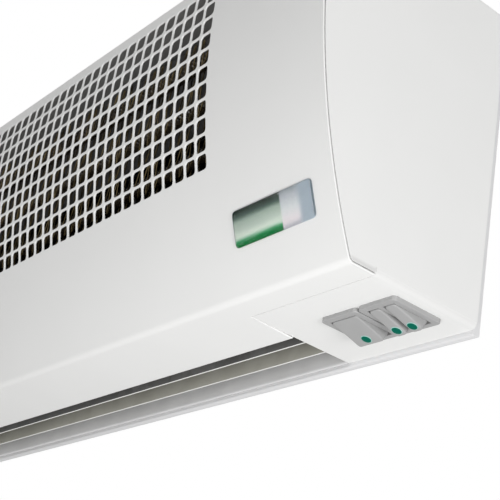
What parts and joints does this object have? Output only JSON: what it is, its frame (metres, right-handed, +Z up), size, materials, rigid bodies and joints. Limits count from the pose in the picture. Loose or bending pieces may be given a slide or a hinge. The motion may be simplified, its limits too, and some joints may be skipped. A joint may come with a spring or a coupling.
{
  "type": "air curtain",
  "caption": "Wall-mounted electric air curtain with a curved perforated front, a needle heater, a tangential fan and rocker switches beside the outlet slot.",
  "frame": {"origin": "on the wall face, at mid-length, level with the underside of the casing", "axes": "+X along the casing towards the switches, +Y into the wall, +Z up"},
  "size_m": [0.603, 0.13, 0.1929],
  "materials": {
    "white_powder_coat": "fine satin powder coat",
    "zinc_steel": "dull zinc-plated sheet",
    "screw_steel": "plated steel",
    "impeller_aluminium": "mill finish",
    "black_rubber": "matt",
    "motor_enamel": "satin",
    "bush_bronze": "sintered",
    "mica_board": "layered, slightly glossy",
    "heating_wire": "oxidised",
    "white_ceramic": "unglazed",
    "terminal_brass": "bright",
    "black_plastic": "matt",
    "grey_plastic": "fine matt moulded",
    "green_lens": "glossy",
    "badge_print": "printed foil in two colour fields",
    "badge_resin": "clear domed resin",
    "block_plastic": "matt"
  },
  "bodies": {
    "casing": {"front_cover": "white_powder_coat", "right_end_panel": "white_powder_coat", "left_end_panel": "white_powder_coat", "rear_panel": "white_powder_coat", "cover_screws": "screw_steel", "duct_end_wall_left": "zinc_steel", "duct_end_wall_right": "zinc_steel", "scroll_panel": "zinc_steel", "duct_front_wall": "zinc_steel", "guide_vane_front": "zinc_steel", "guide_vane_rear": "zinc_steel", "motor_body": "motor_enamel", "motor_bracket": "zinc_steel", "motor_rubber_mounts": "black_rubber", "motor_screws": "screw_steel", "bearing_bush": "bush_bronze", "bearing_rubber": "black_rubber", "heater_mica_strips": "mica_board", "heater_needles": "heating_wire", "heater_insulators": "white_ceramic", "heater_terminals": "terminal_brass", "thermal_cutout": "black_plastic", "switch_body_single": "grey_plastic", "switch_body_double": "grey_plastic", "switch_terminals": "terminal_brass", "badge_plate": "badge_print", "badge_dome": "badge_resin", "terminal_block": "block_plastic", "terminal_screws": "terminal_brass", "cable_grommet": "black_rubber", "cable_clamp": "black_plastic", "earth_stud": "terminal_brass"},
    "fan": {"fan_impeller": "impeller_aluminium", "impeller_hub": "black_rubber", "impeller_journal": "screw_steel", "motor_rotor": "screw_steel"},
    "fan_key": {"rocker_fan": "grey_plastic", "rocker_fan_dot": "green_lens"},
    "heat_low_key": {"rocker_heat_low": "grey_plastic", "rocker_heat_low_dot": "green_lens"},
    "heat_high_key": {"rocker_heat_high": "grey_plastic", "rocker_heat_high_dot": "green_lens"}
  },
  "joints": [
    {"name": "fan_spin", "type": "hinge", "parent": "casing", "child": "fan", "pos_m": [0, -0.064, 0.104], "axis": [1, 0, 0], "continuous": true},
    {"name": "fan_switch", "type": "hinge", "parent": "casing", "child": "fan_key", "pos_m": [0.256, -0.0365, 0.0025], "axis": [1, 0, 0], "range_deg": [0, 28]},
    {"name": "heat_low_switch", "type": "hinge", "parent": "casing", "child": "heat_low_key", "pos_m": [0.2769, -0.0365, 0.0025], "axis": [1, 0, 0], "range_deg": [0, 28]},
    {"name": "heat_high_switch", "type": "hinge", "parent": "casing", "child": "heat_high_key", "pos_m": [0.2873, -0.0365, 0.0025], "axis": [1, 0, 0], "range_deg": [0, 28]}
  ]
}
